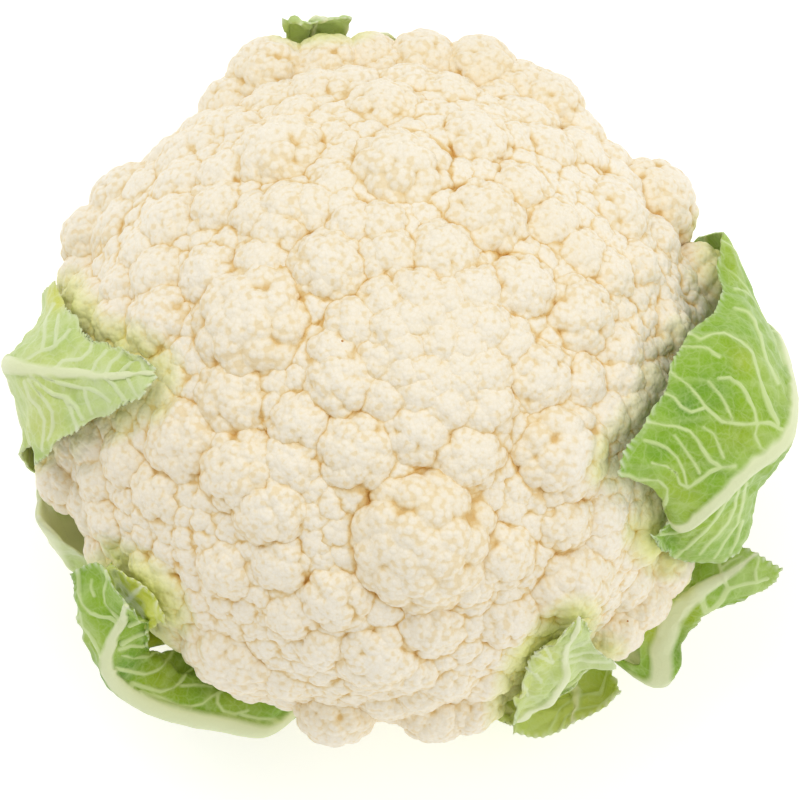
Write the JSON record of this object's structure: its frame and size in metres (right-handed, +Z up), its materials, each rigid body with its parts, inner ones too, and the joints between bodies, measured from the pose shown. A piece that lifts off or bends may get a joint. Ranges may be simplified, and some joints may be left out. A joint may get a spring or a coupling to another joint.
{
  "type": "cauliflower head",
  "caption": "Whole trimmed head of cauliflower: a domed cream curd of nested florets on its cut stalk, with short green leaves folded round its sides.",
  "frame": {"origin": "centre of the stalk's cut face, on which the head stands", "axes": "+Z up out of the cut face through the top of the curd; -Y towards the side over which the picture looks down; +X to the right in it"},
  "size_m": [0.1967, 0.1812, 0.129],
  "materials": {
    "curd_flesh": "matt cream curd flesh, finely grained, a little light passes into it",
    "stalk_flesh": "smooth pale green stalk skin, pith at the cut face",
    "leaf_green": "waxy mid-green leaf with paler ribs and veins",
    "leaf_pale": "waxy pale green inner leaf with a white midrib",
    "leaf_yellow": "thin yellow-green young leaf"
  },
  "bodies": {
    "root": {"curd": "curd_flesh", "stalk": "stalk_flesh", "leaf_right": "leaf_green", "leaf_left": "leaf_pale", "leaf_base_left": "leaf_pale", "leaf_front_left": "leaf_green", "leaf_young": "leaf_yellow", "leaf_front_inner": "leaf_pale", "leaf_front_outer": "leaf_green", "leaf_right_low": "leaf_green", "leaf_back": "leaf_green", "leaf_back_small": "leaf_pale", "leaf_base_back_right": "leaf_pale", "leaf_base_back_left": "leaf_pale"}
  },
  "joints": []
}
